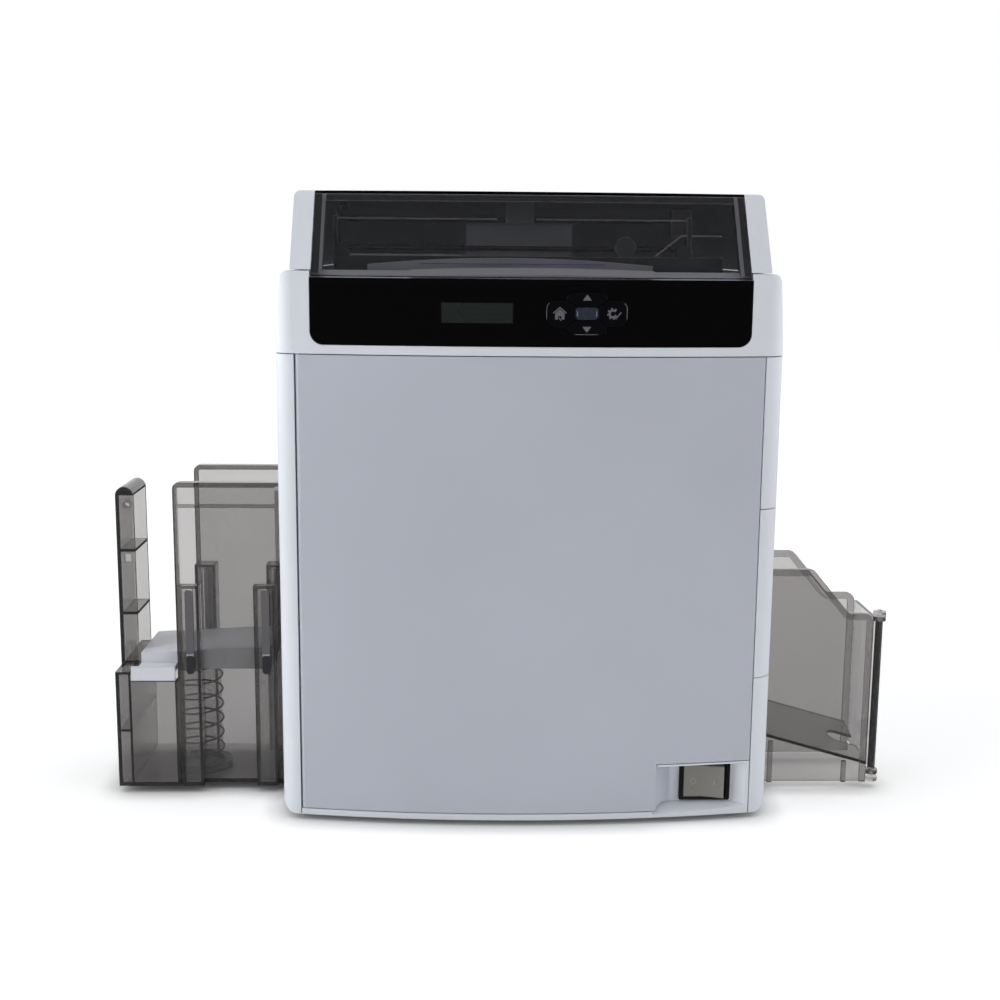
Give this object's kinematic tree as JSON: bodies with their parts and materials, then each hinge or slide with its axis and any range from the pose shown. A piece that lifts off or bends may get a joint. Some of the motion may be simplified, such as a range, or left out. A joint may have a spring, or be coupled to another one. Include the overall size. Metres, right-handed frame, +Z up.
{
  "type": "id card printer",
  "caption": "Desktop id card printer with a smoked card hopper and sprung lift on one side, an output tray on the other, a front door, a control panel and a hinged top cover.",
  "frame": {"origin": "Centre of the bounding box in plan, on the table.", "axes": "+X is to the right seen from the front, the front faces -Y, +Z is up."},
  "size_m": [0.5264, 0.3442, 0.4055],
  "materials": {
    "lower_plastic": "fine textured moulding",
    "white_plastic": "fine textured moulding",
    "door_plastic": "fine textured moulding",
    "foot_rubber": "matte",
    "panel_black": "high gloss",
    "display_glass": "clear lens over a dark display",
    "circuit_board": "solder resist",
    "key_blue": "satin",
    "steel": "bright",
    "black_plastic": "satin",
    "rocker_grey": "satin",
    "smoked_plastic": "smoked clear moulding",
    "grip_grey": "satin",
    "sheet_steel": "zinc plated",
    "bronze": "sintered",
    "roller_rubber": "ground",
    "heat_rubber": "silicone",
    "head_metal": "cast",
    "cassette_grey": "satin",
    "spool_blue": "satin",
    "spool_grey": "satin",
    "ribbon_film": "thin dye film",
    "transfer_film": "thin coated film",
    "motor_dark": "satin",
    "belt_rubber": "matte",
    "platform_blue": "satin"
  },
  "bodies": {
    "printer_body": {"base_tray": "lower_plastic", "feet": "foot_rubber", "left_side_cover": "white_plastic", "right_side_cover": "white_plastic", "exit_side_cover": "white_plastic", "lower_side_cover": "white_plastic", "rear_cover": "white_plastic", "upper_shell": "white_plastic", "control_panel": "panel_black", "display_window": "display_glass", "control_board": "circuit_board", "door_pins": "steel", "door_catch": "black_plastic", "switch_bezel": "black_plastic", "chassis_plate": "sheet_steel", "bearing_plate": "sheet_steel", "roller_bushes": "bronze", "print_head": "head_metal", "ribbon_cassette": "cassette_grey", "ribbon_web": "ribbon_film", "film_cassette": "cassette_grey", "film_web": "transfer_film", "drive_motor": "motor_dark", "drive_belt": "belt_rubber", "spool_motors": "motor_dark", "main_board": "circuit_board", "power_supply": "sheet_steel", "fan_housing": "black_plastic", "power_inlet": "black_plastic", "data_ports": "sheet_steel", "hopper_shell": "smoked_plastic", "hopper_post": "smoked_plastic", "output_tray": "smoked_plastic", "case_screws": "steel"},
    "top_cover": {"top_cover_frame": "white_plastic", "top_cover_window": "smoked_plastic", "cover_liner": "black_plastic", "cover_grip": "grip_grey"},
    "door": {"front_door": "door_plastic"},
    "rocker": {"power_rocker": "rocker_grey"},
    "home_key": {"home_button": "panel_black"},
    "up_key": {"up_button": "panel_black"},
    "down_key": {"down_button": "panel_black"},
    "menu_key": {"menu_button": "panel_black"},
    "select_key": {"select_button": "key_blue"},
    "lift": {"lift_platform": "platform_blue", "lift_spring": "steel"},
    "gate": {"output_gate": "smoked_plastic"},
    "ribbon_supply": {"ribbon_supply_spool": "spool_blue"},
    "ribbon_takeup": {"ribbon_takeup_spool": "spool_blue"},
    "film_supply": {"film_supply_spool": "spool_grey"},
    "film_takeup": {"film_takeup_spool": "spool_grey"},
    "transfer": {"transfer_roller": "heat_rubber"},
    "pick": {"pick_roller": "roller_rubber"},
    "feed": {"feed_roller": "roller_rubber"},
    "pressure": {"pressure_roller": "roller_rubber"},
    "exit": {"exit_roller": "roller_rubber"},
    "platen": {"platen_roller": "roller_rubber"},
    "motor_rotor": {"motor_pulley": "steel"},
    "fan": {"fan_rotor": "black_plastic"}
  },
  "joints": [
    {"name": "top_cover_hinge", "type": "hinge", "parent": "printer_body", "child": "top_cover", "pos_m": [0.0138, 0.1581, 0.3626], "axis": [-1, 0, 0], "range_deg": [0, 80]},
    {"name": "front_door_hinge", "type": "hinge", "parent": "printer_body", "child": "door", "pos_m": [-0.13, -0.15721, 0.15], "axis": [0, 0, -1], "range_deg": [0, 90]},
    {"name": "power_rocker_pivot", "type": "hinge", "parent": "printer_body", "child": "rocker", "pos_m": [0.1318, -0.1544, 0.0252], "axis": [0, 0, 1], "range_deg": [0, 16]},
    {"name": "home_button_press", "type": "slide", "parent": "printer_body", "child": "home_key", "axis": [0, 1, 0], "range_m": [0, 0.0008], "stiffness_N_per_m": 600},
    {"name": "up_button_press", "type": "slide", "parent": "printer_body", "child": "up_key", "axis": [0, 1, 0], "range_m": [0, 0.0008], "stiffness_N_per_m": 600},
    {"name": "down_button_press", "type": "slide", "parent": "printer_body", "child": "down_key", "axis": [0, 1, 0], "range_m": [0, 0.0008], "stiffness_N_per_m": 600},
    {"name": "menu_button_press", "type": "slide", "parent": "printer_body", "child": "menu_key", "axis": [0, 1, 0], "range_m": [0, 0.0008], "stiffness_N_per_m": 600},
    {"name": "select_button_press", "type": "slide", "parent": "printer_body", "child": "select_key", "axis": [0, 1, 0], "range_m": [0, 0.0008], "stiffness_N_per_m": 600},
    {"name": "lift_slide", "type": "slide", "parent": "printer_body", "child": "lift", "axis": [0, 0, 1], "range_m": [0, 0.048], "deforming": ["lift_spring"]},
    {"name": "output_gate_hinge", "type": "hinge", "parent": "printer_body", "child": "gate", "pos_m": [0.25885, -0.1037, 0.06], "axis": [0, 0, -1], "range_deg": [0, 90]},
    {"name": "ribbon_supply_spin", "type": "hinge", "parent": "printer_body", "child": "ribbon_supply", "pos_m": [-0.0502, -0.0759, 0.234], "axis": [0, 1, 0], "continuous": true},
    {"name": "ribbon_takeup_spin", "type": "hinge", "parent": "printer_body", "child": "ribbon_takeup", "pos_m": [0.0778, -0.0759, 0.234], "axis": [0, 1, 0], "continuous": true},
    {"name": "film_supply_spin", "type": "hinge", "parent": "printer_body", "child": "film_supply", "pos_m": [-0.0812, -0.0759, 0.319], "axis": [0, 1, 0], "continuous": true},
    {"name": "film_takeup_spin", "type": "hinge", "parent": "printer_body", "child": "film_takeup", "pos_m": [0.1088, -0.0759, 0.319], "axis": [0, 1, 0], "continuous": true},
    {"name": "transfer_roller_spin", "type": "hinge", "parent": "printer_body", "child": "transfer", "pos_m": [0.1268, -0.0759, 0.16668], "axis": [0, 1, 0], "continuous": true},
    {"name": "pick_roller_spin", "type": "hinge", "parent": "printer_body", "child": "pick", "pos_m": [-0.1292, -0.0759, 0.15968], "axis": [0, 1, 0], "continuous": true},
    {"name": "feed_roller_spin", "type": "hinge", "parent": "printer_body", "child": "feed", "pos_m": [-0.0812, -0.0759, 0.14032], "axis": [0, 1, 0], "continuous": true},
    {"name": "pressure_roller_spin", "type": "hinge", "parent": "printer_body", "child": "pressure", "pos_m": [0.1268, -0.0759, 0.14032], "axis": [0, 1, 0], "continuous": true},
    {"name": "exit_roller_spin", "type": "hinge", "parent": "printer_body", "child": "exit", "pos_m": [0.1568, -0.0759, 0.14032], "axis": [0, 1, 0], "continuous": true},
    {"name": "platen_roller_spin", "type": "hinge", "parent": "printer_body", "child": "platen", "pos_m": [0.0038, -0.0759, 0.262], "axis": [0, 1, 0], "continuous": true},
    {"name": "motor_spin", "type": "hinge", "parent": "printer_body", "child": "motor_rotor", "pos_m": [0.0378, -0.0349, 0.095], "axis": [0, 1, 0], "continuous": true},
    {"name": "fan_spin", "type": "hinge", "parent": "printer_body", "child": "fan", "pos_m": [0.0838, 0.1551, 0.236], "axis": [0, 1, 0], "continuous": true}
  ],
  "couplings": [
    {"joint": "feed_roller_spin", "follows": "transfer_roller_spin", "ratio": -1.7778},
    {"joint": "pressure_roller_spin", "follows": "transfer_roller_spin", "ratio": -1.7778},
    {"joint": "exit_roller_spin", "follows": "transfer_roller_spin", "ratio": -1.7778},
    {"joint": "pick_roller_spin", "follows": "transfer_roller_spin", "ratio": 1.7778},
    {"joint": "motor_spin", "follows": "transfer_roller_spin", "ratio": -2.2222},
    {"joint": "ribbon_takeup_spin", "follows": "ribbon_supply_spin", "ratio": 1.4545},
    {"joint": "film_takeup_spin", "follows": "film_supply_spin", "ratio": 1.8182},
    {"joint": "platen_roller_spin", "follows": "film_supply_spin", "ratio": -2}
  ]
}
